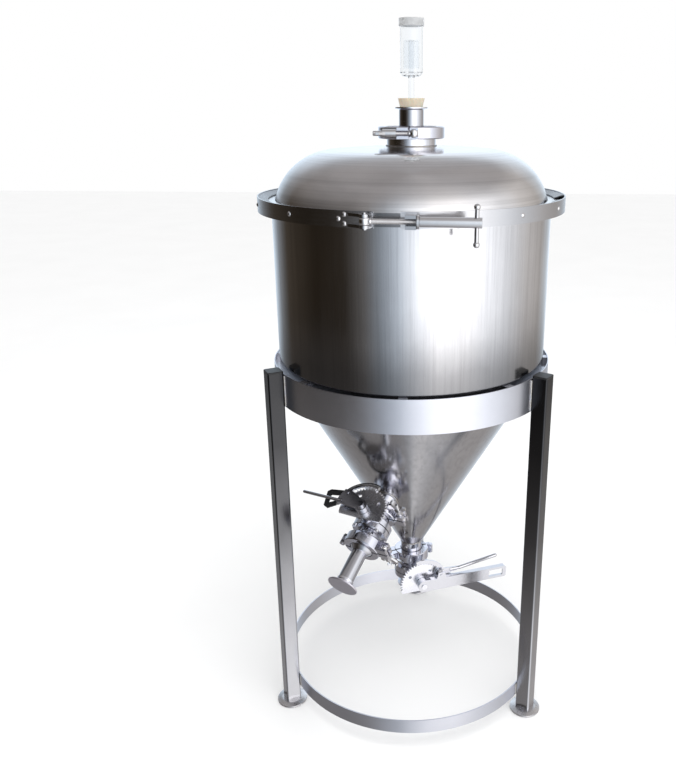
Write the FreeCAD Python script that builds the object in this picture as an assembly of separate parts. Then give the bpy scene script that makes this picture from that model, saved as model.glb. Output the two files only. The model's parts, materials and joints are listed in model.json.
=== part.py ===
"""Conical fermenter: a closed steel tank with a 60 degree cone on three legs.

Millimetres, +Z up.  The tank axis is the Z axis, the floor is z = 0 and the front of
the vessel, where the lid latch and the valves are, faces -Y.  An azimuth is counted
from the front, positive towards +X.
"""
import FreeCAD, Part
import os
from math import asin, atan2, cos, degrees, pi, radians, sin, sqrt, tan

V = FreeCAD.Vector
UP = V(0, 0, 1)
ORIGIN = V(0, 0, 0)

# ---- driving dimensions: vessel -------------------------------------------------------
TANK_OD = 440.0
TANK_WALL = 1.5
RIM_Z = 873.5              # top face of the tank's rolled rim
CONE_HALF_ANGLE = 30.0
CONE_END_Z = 264.0         # where the cone meets the dump port tube
RIM_REACH = 12.0           # rim flange beyond the tank wall
RIM_THICK = 2.5
LID_GASKET = 4.0
LID_BASE_R = TANK_OD / 2 - 6.0
LID_WALL = 1.5
LID_KNUCKLE_R = 99.0
LID_KNUCKLE_DROP = 25.0    # knuckle centre below the lid flange
LID_CROWN_R = 1400.0

# ---- driving dimensions: stand --------------------------------------------------------
RING_GAP = 7.5             # support ring stands off the tank wall
RING_THICK = 1.5
RING_OVER_CONE = 10.0      # support ring's top, above the wide end of the cone
RING_HEIGHT = 54.0
BASE_RING_Z = 32.0
BASE_RING_HEIGHT = 25.0
BASE_RING_THICK = 2.0
LEG_SIDE = 25.4
LEG_WALL = 1.6
LEG_FOOT_Z = 6.0
LEG_OVER_RING = 2.0
LEG_CORNER_R = 3.0
LEG_AZIMUTHS = {"left": -60.0, "right": 60.0, "rear": 180.0}
CAP_THICK = 3.0
CAP_PLUG = 12.0
FOOT_R = 26.0
STRUT_STEP = 45.0          # spacing of the blocks that carry the tank in its ring

# ---- driving dimensions: sanitary clamp fittings --------------------------------------
TUBE_R = 19.05
TUBE_WALL = 1.65
FLANGE_LIP = 6.2           # clamp flange beyond the tube
BIG_TUBE_R = 38.1
BIG_FLANGE_LIP = 7.4
FLANGE_THICK = 3.0
SEAL_THICK = 1.6
DUMP_NECK = 24.0
RACK_NECK = 26.0
RACK_AZIMUTH = -24.0
RACK_PORT_Z = 388.0
LID_PORT_NECK = 18.8       # upper face of the lid's large port, above the crown
REDUCER_TUBE = 33.0
OUTLET_TUBE_R = 12.7
OUTLET_LENGTH = 74.0
BORE_CLEARANCE = 0.3

# ---- driving dimensions: butterfly valves ---------------------------------------------
VALVE_LENGTH = 64.0
VALVE_BODY_WALL = 11.95    # split valve body beyond the tube
VALVE_BODY_THICK = 22.0
SEAT_STEP = 0.4            # the seat stands in from the tube's bore
DISC_THICK = 3.0
STEM_R = 5.0
BOSS_R = 9.5
BOSS_END = 54.0            # stem boss, measured from the valve axis
PLATE_R = 40.0
PLATE_THICK = 3.0
NOTCH_PITCH = 7.5
NOTCH_DEPTH = 3.2
NOTCH_ANGLE = 100.0        # pawl position, counted from the handle
NOTCH_ROOT_HALF = 1.1      # half widths of the V notches and of the pawl, in degrees
NOTCH_MOUTH_HALF = 3.7
PAWL_TIP_HALF = 0.2
PAWL_ROOT_HALF = 2.3
PAWL_GAP = 0.35
HANDLE_LENGTH = 160.0
HANDLE_HEIGHT = 22.0
HANDLE_SHEET = 2.0
HANDLE_DEPTH = 9.0
TRIGGER_THICK = 3.0
TRIGGER_ROD_R = 3.2
TRIGGER_ROD_END = 142.0
LEVER_LENGTH = 108.0
LOOP_LENGTH = 66.0
DUMP_STEM_AZIMUTH = 22.5
RUNNING_FIT = 0.05
FREE_GAP = 0.35

# ---- driving dimensions: lid clamp band -----------------------------------------------
BAND_STANDOFF = 7.0        # strap inside face beyond the rim edge
BAND_THICK = 2.0
BAND_HEIGHT = 22.5
LATCH_AZIMUTH = -3.5
LATCH_REACH = 10.5         # latch bolt line beyond the strap
LATCH_BOLT_R = 4.0
TRUNNION_U = -32.0
SADDLE_U = 22.0            # start of the saddle, to the right of the band's gap
SADDLE_THICK = 15.0
TEE_NUT_R = 7.0
TEE_NUT_LENGTH = 80.0
TOMMY_R = 2.9
TOMMY_UP = 20.0
TOMMY_DOWN = 28.0

# ---- derived sizes --------------------------------------------------------------------
TANK_R = TANK_OD / 2
TUBE_BORE = TUBE_R - TUBE_WALL
FLANGE_R = TUBE_R + FLANGE_LIP
BIG_FLANGE_R = BIG_TUBE_R + BIG_FLANGE_LIP
VALVE_BODY_R = TUBE_R + VALVE_BODY_WALL
SEAT_BORE_R = TUBE_BORE - SEAT_STEP
TAN_CONE = tan(radians(CONE_HALF_ANGLE))
CONE_TOP_Z = CONE_END_Z + (TANK_R - TUBE_R) / TAN_CONE
RIM_R = TANK_R + RIM_REACH
LID_FLANGE_Z = RIM_Z + LID_GASKET
LID_FLANGE_TOP = LID_FLANGE_Z + RIM_THICK
KNUCKLE_Z = LID_FLANGE_TOP - LID_KNUCKLE_DROP
KNUCKLE_X = LID_BASE_R - sqrt(LID_KNUCKLE_R ** 2 - LID_KNUCKLE_DROP ** 2)
CROWN_Z = KNUCKLE_Z - sqrt((LID_CROWN_R - LID_KNUCKLE_R) ** 2 - KNUCKLE_X ** 2)
PORT_FACE_Z = CROWN_Z + LID_CROWN_R + LID_PORT_NECK
RING_R = TANK_R + RING_GAP + RING_THICK
RING_Z = CONE_TOP_Z + RING_OVER_CONE - RING_HEIGHT
LEG_R = RING_R + LEG_SIDE / 2
LEG_TOP = RING_Z + RING_HEIGHT + LEG_OVER_RING
BAND_R = RIM_R + BAND_STANDOFF + BAND_THICK
BAND_MID_Z = (RIM_Z + LID_FLANGE_Z) / 2
DUMP_FACE_Z = CONE_END_Z - DUMP_NECK


# ---- helpers --------------------------------------------------------------------------
def cyl(r, z0, z1, centre=(0, 0)):
    return Part.makeCylinder(r, z1 - z0, V(centre[0], centre[1], z0))


def rod(r, start, end):
    return Part.makeCylinder(r, (end - start).Length, start, end - start)


def tube(r_out, r_in, z0, z1):
    return cyl(r_out, z0, z1).cut(cyl(r_in, z0 - 1, z1 + 1))


def box(x0, x1, y0, y1, z0, z1):
    return Part.makeBox(x1 - x0, y1 - y0, z1 - z0, V(x0, y0, z0))


def revolved(points, angle=360.0, start=0.0):
    """Solid of revolution about Z from (radius, height) points."""
    outline = [V(r, 0, z) for r, z in points]
    face = Part.Face(Part.makePolygon(outline + outline[:1]))
    solid = face.revolve(ORIGIN, UP, angle)
    solid.rotate(ORIGIN, UP, start)
    return solid


def prism(points, x0, x1):
    """Solid from (y, z) points, between two x planes."""
    outline = [V(x0, y, z) for y, z in points]
    return Part.Face(Part.makePolygon(outline + outline[:1])).extrude(V(x1 - x0, 0, 0))


def slab(points, z0, z1):
    """Solid from (x, y) points, between two z planes."""
    outline = [V(x, y, z0) for x, y in points]
    return Part.Face(Part.makePolygon(outline + outline[:1])).extrude(V(0, 0, z1 - z0))


def fused(shapes):
    whole = shapes[0].multiFuse(shapes[1:]) if len(shapes) > 1 else shapes[0]
    return whole.removeSplitter()


def placed(shape, origin, x_axis, y_axis, z_axis):
    """The shape moved from its local frame to the given frame."""
    m = FreeCAD.Matrix(x_axis.x, y_axis.x, z_axis.x, origin.x,
                       x_axis.y, y_axis.y, z_axis.y, origin.y,
                       x_axis.z, y_axis.z, z_axis.z, origin.z, 0, 0, 0, 1)
    moved = shape.copy()
    moved.Placement = FreeCAD.Placement(m).multiply(moved.Placement)
    return moved


def outward(azimuth):
    return V(sin(radians(azimuth)), -cos(radians(azimuth)), 0)


def save(name, shape):
    shape.exportStep("parts/" + name + ".step")


class Train:
    """A row of fittings along one axis: x is the valve stem, z runs outwards."""

    def __init__(self, origin, z_axis, x_axis):
        self.origin, self.z, self.x = origin, z_axis, x_axis
        self.y = z_axis.cross(x_axis)

    def put(self, shape, along=0.0):
        return placed(shape, self.origin + self.z * along, self.x, self.y, self.z)


def dump_train():
    return Train(V(0, 0, DUMP_FACE_Z), V(0, 0, -1), outward(DUMP_STEM_AZIMUTH))


def rack_wall_r():
    return TUBE_R + (RACK_PORT_Z - CONE_END_Z) * TAN_CONE


def rack_train():
    out = outward(RACK_AZIMUTH)
    slope = radians(CONE_HALF_ANGLE)
    axis = out * cos(slope) - UP * sin(slope)
    stem = out * sin(slope) + UP * cos(slope)
    wall = out * rack_wall_r() + UP * RACK_PORT_Z
    return Train(wall + axis * RACK_NECK, axis, stem)


# ---- vessel ---------------------------------------------------------------------------
def tank_shell():
    wall_run = TANK_WALL / cos(radians(CONE_HALF_ANGLE))
    inner_top = CONE_TOP_Z + (wall_run - TANK_WALL) / TAN_CONE
    shell = revolved([
        (TUBE_R, CONE_END_Z), (TANK_R, CONE_TOP_Z), (TANK_R, RIM_Z - RIM_THICK),
        (RIM_R, RIM_Z - RIM_THICK), (RIM_R, RIM_Z), (TANK_R - TANK_WALL, RIM_Z),
        (TANK_R - TANK_WALL, inner_top), (TUBE_R - wall_run, CONE_END_Z)])
    port = rack_train()
    hole = rod(TUBE_R, port.origin - port.z * (RACK_NECK + 30), port.origin)
    return shell.cut(hole)


def ferrule(length, tube_r, flange_r, start=0.0):
    """Tube with a clamp flange whose face is at z = 0 and whose tube runs to -length."""
    bevel = FLANGE_THICK * 0.35
    outline = [(tube_r - TUBE_WALL, start - length), (tube_r, start - length),
               (tube_r, -FLANGE_THICK - bevel), (flange_r, -FLANGE_THICK * 0.6),
               (flange_r, 0), (tube_r - TUBE_WALL, 0)]
    return revolved(outline)


def cone_ferrules():
    dump = dump_train().put(ferrule(DUMP_NECK, TUBE_R, FLANGE_R))
    train = rack_train()
    rack = train.put(ferrule(RACK_NECK + TUBE_R, TUBE_R, FLANGE_R))
    inside = rack_wall_r() - TANK_WALL / cos(radians(CONE_HALF_ANGLE))
    apex_z = RACK_PORT_Z - inside / TAN_CONE
    cavity = Part.makeCone(0, (RIM_Z - apex_z) * TAN_CONE, RIM_Z - apex_z, V(0, 0, apex_z))
    return Part.makeCompound([dump, rack.cut(cavity)])


def lid_outline(offset):
    """Crown and knuckle arcs of the lid, moved inwards by the offset."""
    knuckle, crown = LID_KNUCKLE_R - offset, LID_CROWN_R - offset
    centre, hub = V(KNUCKLE_X, 0, KNUCKLE_Z), V(0, 0, CROWN_Z)
    lean = atan2(KNUCKLE_X, KNUCKLE_Z - CROWN_Z)
    base = asin(LID_KNUCKLE_DROP / knuckle)
    mid = (base + pi / 2 - lean) / 2

    def on(point, radius, angle):
        return point + V(radius * cos(angle), 0, radius * sin(angle))

    joint = on(centre, knuckle, pi / 2 - lean)
    foot = on(centre, knuckle, base)
    side = Part.Arc(foot, on(centre, knuckle, mid), joint).toShape()
    top = Part.Arc(joint, on(hub, crown, pi / 2 - lean / 2), on(hub, crown, pi / 2)).toShape()
    return foot, on(hub, crown, pi / 2), [side, top]


def lid_shell():
    foot, crown, outer = lid_outline(0.0)
    inner_foot, inner_crown, inner = lid_outline(LID_WALL)
    low, edge = LID_FLANGE_Z, RIM_R
    run = [foot, V(edge, 0, LID_FLANGE_TOP), V(edge, 0, low), V(inner_foot.x, 0, low), inner_foot]
    lines = [Part.makeLine(a, b) for a, b in zip(run, run[1:])]
    lines.append(Part.makeLine(crown, inner_crown))
    face = Part.Face(Part.Wire(Part.__sortEdges__(outer + inner + lines)))
    return face.revolve(ORIGIN, UP, 360).cut(cyl(BIG_TUBE_R, RIM_Z, PORT_FACE_Z))


def lid_ferrule():
    crown_z = CROWN_Z + LID_CROWN_R
    body = ferrule(PORT_FACE_Z - crown_z + 6.0, BIG_TUBE_R, BIG_FLANGE_R)
    return placed(body, V(0, 0, PORT_FACE_Z), V(1, 0, 0), V(0, 1, 0), UP)


def lid_gasket():
    lip = 1.5
    return revolved([
        (TANK_R - TANK_WALL, RIM_Z), (RIM_R, RIM_Z), (RIM_R, RIM_Z - RIM_THICK),
        (RIM_R + lip, RIM_Z - RIM_THICK), (RIM_R + lip, LID_FLANGE_Z),
        (TANK_R - TANK_WALL, LID_FLANGE_Z)])


def reducer_cap():
    face = PORT_FACE_Z + SEAL_THICK
    lip = FLANGE_THICK * 0.6
    shoulder = FLANGE_THICK * 1.35
    top = face + REDUCER_TUBE + FLANGE_THICK
    return revolved([
        (TUBE_BORE, face), (BIG_FLANGE_R, face), (BIG_FLANGE_R, face + lip),
        (BIG_TUBE_R, face + shoulder), (TUBE_R + 3, face + shoulder),
        (TUBE_R, face + shoulder + 3), (TUBE_R, top - shoulder), (FLANGE_R, top - lip),
        (FLANGE_R, top), (TUBE_BORE, top)])


REDUCER_TOP = PORT_FACE_Z + SEAL_THICK + REDUCER_TUBE + FLANGE_THICK

BUNG_TAPER = 3.1           # the bung's top stands out from the tube's bore
BUNG_TOP_R = TUBE_BORE + BUNG_TAPER
BUNG_RISE = 13.0
BUNG_DEPTH = 18.0
AIRLOCK_STEM_R = 4.5
AIRLOCK_STEM_BORE = 3.0
AIRLOCK_R = 17.0
AIRLOCK_WALL = 1.5
AIRLOCK_HEIGHT = 78.0
AIRLOCK_NECK = 32.0
AIRLOCK_STEM_DROP = 30.0   # inner stem ends this far below the airlock's rim


def bung():
    """Tapered stopper that seats on the inner edge of the reducer's mouth."""
    slope = (BUNG_TOP_R - TUBE_BORE) / BUNG_RISE
    low_r = TUBE_BORE - slope * BUNG_DEPTH
    body = revolved([(0, REDUCER_TOP - BUNG_DEPTH), (low_r, REDUCER_TOP - BUNG_DEPTH),
                     (TUBE_BORE, REDUCER_TOP), (BUNG_TOP_R, REDUCER_TOP + BUNG_RISE),
                     (0, REDUCER_TOP + BUNG_RISE)])
    return body.cut(cyl(AIRLOCK_STEM_R, REDUCER_TOP - 50, REDUCER_TOP + 50))


AIRLOCK_FLOOR = REDUCER_TOP + BUNG_RISE + AIRLOCK_NECK
AIRLOCK_TOP = AIRLOCK_FLOOR + AIRLOCK_HEIGHT


def airlock_body():
    inner_top = AIRLOCK_TOP - AIRLOCK_STEM_DROP
    low = REDUCER_TOP - BUNG_DEPTH * 0.5
    return revolved([
        (AIRLOCK_STEM_BORE, low), (AIRLOCK_STEM_R, low), (AIRLOCK_STEM_R, AIRLOCK_FLOOR - 3),
        (AIRLOCK_R - 3, AIRLOCK_FLOOR), (AIRLOCK_R, AIRLOCK_FLOOR + 4),
        (AIRLOCK_R, AIRLOCK_TOP), (AIRLOCK_R - AIRLOCK_WALL, AIRLOCK_TOP),
        (AIRLOCK_R - AIRLOCK_WALL, AIRLOCK_FLOOR + 5),
        (AIRLOCK_R - 4, AIRLOCK_FLOOR + AIRLOCK_WALL),
        (AIRLOCK_STEM_R, AIRLOCK_FLOOR + AIRLOCK_WALL), (AIRLOCK_STEM_R, inner_top),
        (AIRLOCK_STEM_BORE, inner_top)])


def airlock_float():
    """Inverted cup that rests on the inner stem."""
    wall = 1.2
    outer = AIRLOCK_R - AIRLOCK_WALL - 3.5
    ceiling = AIRLOCK_TOP - AIRLOCK_STEM_DROP + FREE_GAP
    cup = cyl(outer, ceiling - 38, ceiling + wall)
    return cup.cut(cyl(outer - wall, ceiling - 39, ceiling))


def airlock_cap():
    lip = 1.6
    gap = 0.3
    top = AIRLOCK_TOP + lip
    cap = cyl(AIRLOCK_R + gap + lip, AIRLOCK_TOP - 9, top)
    cap = cap.cut(cyl(AIRLOCK_R + gap, AIRLOCK_TOP - 10, AIRLOCK_TOP))
    for k in range(6):
        spot = V(9, 0, 0)
        spot = FreeCAD.Rotation(UP, 60 * k).multVec(spot)
        cap = cap.cut(cyl(1.2, AIRLOCK_TOP - 1, top + 1, (spot.x, spot.y)))
    return cap


# ---- stand ----------------------------------------------------------------------------
def support_ring():
    """Band around the tank, with the weld blocks that carry the tank in it."""
    top = RING_Z + RING_HEIGHT
    ring = tube(RING_R, RING_R - RING_THICK, RING_Z, top)
    block_top, block = CONE_TOP_Z + 8, 14.0
    blocks = []
    for k in range(int(360 / STRUT_STEP)):
        piece = box(TANK_R, RING_R - RING_THICK / 2, -block / 2, block / 2, CONE_TOP_Z - 8, block_top)
        piece.rotate(ORIGIN, UP, k * STRUT_STEP)
        blocks.append(piece)
    keep_out = cyl(TANK_R, CONE_TOP_Z, RIM_Z).fuse(
        Part.makeCone(TUBE_R, TANK_R, CONE_TOP_Z - CONE_END_Z, V(0, 0, CONE_END_Z)))
    return fused([ring] + [b.cut(keep_out) for b in blocks])


def base_ring():
    return tube(RING_R, RING_R - BASE_RING_THICK, BASE_RING_Z, BASE_RING_Z + BASE_RING_HEIGHT)


def square(side, corner, z0, z1):
    body = box(-side / 2, side / 2, -side / 2, side / 2, z0, z1)
    return body.makeFillet(corner, [e for e in body.Edges if e.BoundBox.ZLength > z1 - z0 - 1])


def at_leg(shape, azimuth):
    moved = shape.copy()
    moved.translate(V(0, -LEG_R, 0))
    moved.rotate(ORIGIN, UP, azimuth)
    return moved


def leg(azimuth):
    outer = square(LEG_SIDE, LEG_CORNER_R, LEG_FOOT_Z, LEG_TOP)
    inner = square(LEG_SIDE - 2 * LEG_WALL, LEG_CORNER_R - LEG_WALL, LEG_FOOT_Z - 1, LEG_TOP + 1)
    return at_leg(outer.cut(inner), azimuth).cut(cyl(RING_R, 0, LEG_TOP + 1))


def leg_caps():
    inner = LEG_SIDE - 2 * LEG_WALL - 0.2
    parts = []
    for azimuth in LEG_AZIMUTHS.values():
        top = square(LEG_SIDE, LEG_CORNER_R, LEG_TOP, LEG_TOP + CAP_THICK)
        top = top.makeChamfer(0.8, [e for e in top.Edges if e.BoundBox.ZMin > LEG_TOP + 1])
        plug = square(inner, LEG_CORNER_R - LEG_WALL, LEG_TOP - CAP_PLUG, LEG_TOP)
        parts.append(at_leg(top.fuse(plug), azimuth).cut(cyl(RING_R, 0, LEG_TOP + 9)))
    return Part.makeCompound(parts)


def foot_pads():
    """Round pads with a threaded stud and an end plug inside each leg."""
    parts = []
    for azimuth in LEG_AZIMUTHS.values():
        pad = revolved([(0, 0), (FOOT_R - 1, 0), (FOOT_R, 1), (FOOT_R, 3.5),
                        (FOOT_R - 6, LEG_FOOT_Z - 0.5), (FOOT_R - 8, LEG_FOOT_Z), (0, LEG_FOOT_Z)])
        plug = square(LEG_SIDE - 2 * LEG_WALL - 0.2, LEG_CORNER_R - LEG_WALL, LEG_FOOT_Z, LEG_FOOT_Z + 10)
        stud = cyl(5, LEG_FOOT_Z, LEG_FOOT_Z + 24)
        inner_part = at_leg(plug.fuse(stud), azimuth).cut(cyl(RING_R, 0, LEG_TOP))
        parts.append(at_leg(pad, azimuth).fuse(inner_part))
    return Part.makeCompound(parts)


# ---- sanitary clamps ------------------------------------------------------------------
class Clamp:
    """Hinged clamp about z = 0.  The hinge is at -x, the swing bolt at +x, along y."""

    def __init__(self, flange_r, tube_r, lug_face=12.0, nut_length=11.0, bolt_r=3.0):
        self.flange_r, self.tube_r = flange_r, tube_r
        self.wall_r = flange_r + 6.0
        self.half_height = 9.0
        self.bolt_x = self.wall_r + 9.0
        self.hinge_x = self.wall_r + 5.5
        self.bolt_r = bolt_r
        self.pivot_y = -7.0
        self.face_y = lug_face
        self.face_r = lug_face - self.pivot_y
        self.nut_length = nut_length

    def ring(self):
        """Full ring with the bevelled groove that draws the flanges together."""
        deep = FLANGE_THICK * 0.6 + SEAL_THICK / 2 + 0.1
        lean = FLANGE_THICK * 1.35 + SEAL_THICK / 2 + 0.1
        h, neck, groove = self.half_height, self.tube_r + 1.2, self.flange_r + 0.4
        bevel = 1.5
        return revolved([
            (groove, -deep), (neck, -lean), (neck, -h), (self.wall_r - bevel, -h),
            (self.wall_r, -h + bevel), (self.wall_r, h - bevel), (self.wall_r - bevel, h),
            (neck, h), (neck, lean), (groove, deep)])

    def lug(self, y0, y1):
        h = self.half_height - 1
        inner = self.wall_r - 3
        body = box(inner, self.bolt_x + 6.5, y0, y1, -h, h)
        slot = self.bolt_r + 0.5
        cut = box(self.bolt_x - slot, self.bolt_x + 20, y0 - 1, y1 + 1, -slot, slot)
        return body.cut(cut)

    def fixed_half(self):
        gap = 1.5
        far = 3 * self.wall_r
        half = self.ring().cut(box(-far, far, -gap, far, -30, 30))
        pivot = self.lug(self.pivot_y - 6.5, -gap)
        wide = self.bolt_r + 1.5 + FREE_GAP
        bay = cyl(self.bolt_r + 2.8 + FREE_GAP, -wide, wide, (self.bolt_x, self.pivot_y))
        pivot = pivot.cut(bay)
        pin = cyl(2.0, -self.half_height + 1, self.half_height - 1, (self.bolt_x, self.pivot_y))
        ears = self.knuckle([(-8, -3.2), (3.2, 8)], -1)
        pin_h = cyl(2.4, -8.6, 8.6, (-self.hinge_x, 0))
        clear = cyl(self.flange_r + 0.4, -30, 30)
        return fused([half, pivot.cut(clear), pin, ears.cut(clear), pin_h])

    def swing_half(self):
        gap = 1.5
        far = 3 * self.wall_r
        half = self.ring().cut(box(-far, far, -far, gap, -30, 30))
        catch = self.lug(gap, self.face_y)
        reach = cyl(self.face_r, -30, 30, (self.bolt_x, self.pivot_y))
        clear = cyl(self.flange_r + 0.4, -30, 30)
        ear = self.knuckle([(-2.9, 2.9)], 1)
        ear = ear.cut(cyl(2.4 + RUNNING_FIT, -30, 30, (-self.hinge_x, 0)))
        return fused([half, catch.common(reach).cut(clear), ear.cut(clear)])

    def knuckle(self, spans, side):
        """Hinge ears about the hinge pin, joined to the ring on one side of it."""
        ears = []
        for low, high in spans:
            ear = cyl(4.6, low, high, (-self.hinge_x, 0))
            web = box(-self.hinge_x, -self.wall_r + 5, min(0, side * 7), max(0, side * 7), low, high)
            ears += [ear, web.cut(cyl(self.wall_r - 2, -30, 30))]
        body = fused(ears)
        opposite = [(-3.05, 3.05)] if len(spans) > 1 else [(-9, -3.05), (3.05, 9)]
        for low, high in opposite:
            body = body.cut(cyl(5.0, low, high, (-self.hinge_x, 0)))
        return body

    def bolt(self):
        eye = cyl(self.bolt_r + 2.8, -self.bolt_r - 1.5, self.bolt_r + 1.5, (self.bolt_x, self.pivot_y))
        start = V(self.bolt_x, self.pivot_y, 0)
        shank = rod(self.bolt_r, start, V(self.bolt_x, self.face_y + self.nut_length + 15, 0))
        hole = cyl(2.0 + RUNNING_FIT, -30, 30, (self.bolt_x, self.pivot_y))
        return fused([eye, shank]).cut(hole)

    def nut(self):
        """Wing nut: a round hub and two wings flared away from the clamp."""
        y0 = self.face_y + FREE_GAP
        y1 = y0 + self.nut_length
        x = self.bolt_x
        hub = rod(6.3, V(x, y0, 0), V(x, y1, 0))
        reach = self.bolt_x - self.wall_r + 6
        tip = y1 + 9
        wings = []
        for side in (-1, 1):
            profile = [(x + side * 3, y1 - 7), (x + side * reach, tip - 5), (x + side * reach, tip),
                       (x + side * (reach - 5), tip + 1), (x + side * 4.5, y1)]
            wings.append(slab(profile, -1.6, 1.6))
        bore = rod(self.bolt_r + RUNNING_FIT, V(x, y0 - 5, 0), V(x, tip + 9, 0))
        return fused([hub] + wings).cut(bore)

    def pieces(self):
        return {"fixed_half": self.fixed_half(), "swing_half": self.swing_half(),
                "bolt": self.bolt(), "wing_nut": self.nut()}


# ---- butterfly valves -----------------------------------------------------------------
# Valve frame: z runs from the inlet face to the outlet face, x along the stem.
def valve_body():
    mid = VALVE_LENGTH / 2
    half = VALVE_BODY_THICK / 2
    lip, shoulder = FLANGE_THICK * 0.6, FLANGE_THICK * 1.35
    split = 0.8
    bore = SEAT_BORE_R + 0.4
    parts = []
    for side in (0, 1):
        outline = [(bore, 0), (FLANGE_R, 0), (FLANGE_R, lip), (TUBE_R, shoulder),
                   (TUBE_R, mid - half - 3), (TUBE_R + 3, mid - half), (VALVE_BODY_R - 1, mid - half),
                   (VALVE_BODY_R, mid - half + 1), (VALVE_BODY_R, mid - split), (bore, mid - split)]
        shape = revolved(outline)
        boss = rod(BOSS_R, V(TUBE_R, 0, mid), V(BOSS_END, 0, mid))
        boss = boss.common(box(0, 99, -30, 30, 0, mid - split / 4))
        shape = shape.fuse(boss.cut(cyl(VALVE_BODY_R - 2, 0, 99)))
        if side:
            shape = shape.mirror(V(0, 0, mid), UP)
        parts.append(shape)
    seat_room = cyl(TUBE_R + 7, mid - 8, mid + 8)
    stem_hole = rod(STEM_R + RUNNING_FIT, V(-TUBE_R - 9, 0, mid), V(99, 0, mid))
    return [p.cut(seat_room).cut(stem_hole) for p in parts]


def valve_seat():
    mid = VALVE_LENGTH / 2
    seat = fused([tube(TUBE_R + 7, SEAT_BORE_R, mid - 8, mid + 8),
                  tube(VALVE_BODY_R, TUBE_R + 6, mid - 0.8, mid + 0.8)])
    hole = rod(STEM_R + RUNNING_FIT, V(-TUBE_R - 9, 0, mid), V(99, 0, mid))
    boss_room = rod(BOSS_R, V(VALVE_BODY_R - 2.5, 0, mid), V(99, 0, mid))
    return seat.cut(hole).cut(boss_room)


def valve_bolts():
    """Four socket screws through the split body."""
    mid, half = VALVE_LENGTH / 2, VALVE_BODY_THICK / 2
    bolts = []
    for k in range(4):
        spot = FreeCAD.Rotation(UP, 45 + 90 * k).multVec(V(VALVE_BODY_R - 2.4, 0, 0))
        head = cyl(3.6, mid - half - 4, mid - half, (spot.x, spot.y))
        head = head.cut(cyl(1.6, mid - half - 5, mid - half - 2, (spot.x, spot.y)))
        nut = cyl(3.8, mid + half, mid + half + 3.5, (spot.x, spot.y))
        bolts += [head, nut]
    return bolts


def face_point(hand, radius, angle):
    """Point in the valve's face plane; angle 0 is the handle, 90 is towards the inlet."""
    a = radians(angle)
    return (hand * radius * cos(a), VALVE_LENGTH / 2 - radius * sin(a))


def notch(hand, angle, depth, half_low, half_high, x0, x1, extra=1.0):
    """Tapered prism that points at the stem, for a notch or for the pawl in it."""
    points = [face_point(hand, PLATE_R - depth, angle - half_low),
              face_point(hand, PLATE_R + extra, angle - half_high),
              face_point(hand, PLATE_R + extra, angle + half_high),
              face_point(hand, PLATE_R - depth, angle + half_low)]
    return prism(points, x0, x1)


def index_plate(hand):
    """Toothed sector fixed on the end of the stem boss."""
    x0, x1 = BOSS_END, BOSS_END + PLATE_THICK
    mid = VALVE_LENGTH / 2
    plate = rod(PLATE_R, V(x0, 0, mid), V(x1, 0, mid))
    low = [face_point(hand, PLATE_R * 1.6, -14), face_point(hand, PLATE_R * 2.4, -90),
           face_point(hand, PLATE_R * 1.6, 194), face_point(hand, 16, 270)]
    plate = plate.cut(prism(low, x0 - 1, x1 + 1))
    hub = rod(17, V(x0, 0, mid), V(x1, 0, mid))
    plate = fused([plate, hub])
    first = NOTCH_ANGLE % NOTCH_PITCH
    for k in range(int((190 - first) / NOTCH_PITCH) + 1):
        angle = first + k * NOTCH_PITCH
        plate = plate.cut(notch(hand, angle, NOTCH_DEPTH, NOTCH_ROOT_HALF, NOTCH_MOUTH_HALF, x0 - 1, x1 + 1))
    for angle in (55, 145):
        y, z = face_point(hand, 27, angle)
        plate = plate.cut(rod(3.0, V(x0 - 1, y, z), V(x1 + 1, y, z)))
    return plate.cut(rod(STEM_R + RUNNING_FIT, V(x0 - 1, 0, mid), V(x1 + 1, 0, mid)))


def disc_and_stem():
    mid = VALVE_LENGTH / 2
    disc = cyl(SEAT_BORE_R - BORE_CLEARANCE, mid - DISC_THICK / 2, mid + DISC_THICK / 2)
    hub = rod(STEM_R + 1.2, V(-12, 0, mid), V(12, 0, mid))
    stem = rod(STEM_R, V(-TUBE_R - 6, 0, mid), V(HUB_END + 1.5, 0, mid))
    return fused([disc, hub, stem])


HUB_START = BOSS_END + PLATE_THICK + FREE_GAP + 0.25
TRIGGER_X = HUB_START + 0.7
HUB_END = TRIGGER_X + TRIGGER_THICK + 0.8 + HANDLE_DEPTH
PIVOT = (33.0, 17.0)       # trigger pin: along the handle, above its middle line
HUB_R = 10.0


def in_face(hand, points, x0, x1):
    """Prism from (along the handle, above it) points."""
    mid = VALVE_LENGTH / 2
    return prism([(hand * h, mid - v) for h, v in points], x0, x1)


def face_rod(hand, r, h, v, x0, x1):
    mid = VALVE_LENGTH / 2
    return rod(r, V(x0, hand * h, mid - v), V(x1, hand * h, mid - v))


def stem_hub(web_x):
    mid = VALVE_LENGTH / 2
    hub = rod(HUB_R, V(HUB_START, 0, mid), V(web_x, 0, mid))
    return hub.cut(rod(STEM_R, V(0, 0, mid), V(199, 0, mid)))


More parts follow.
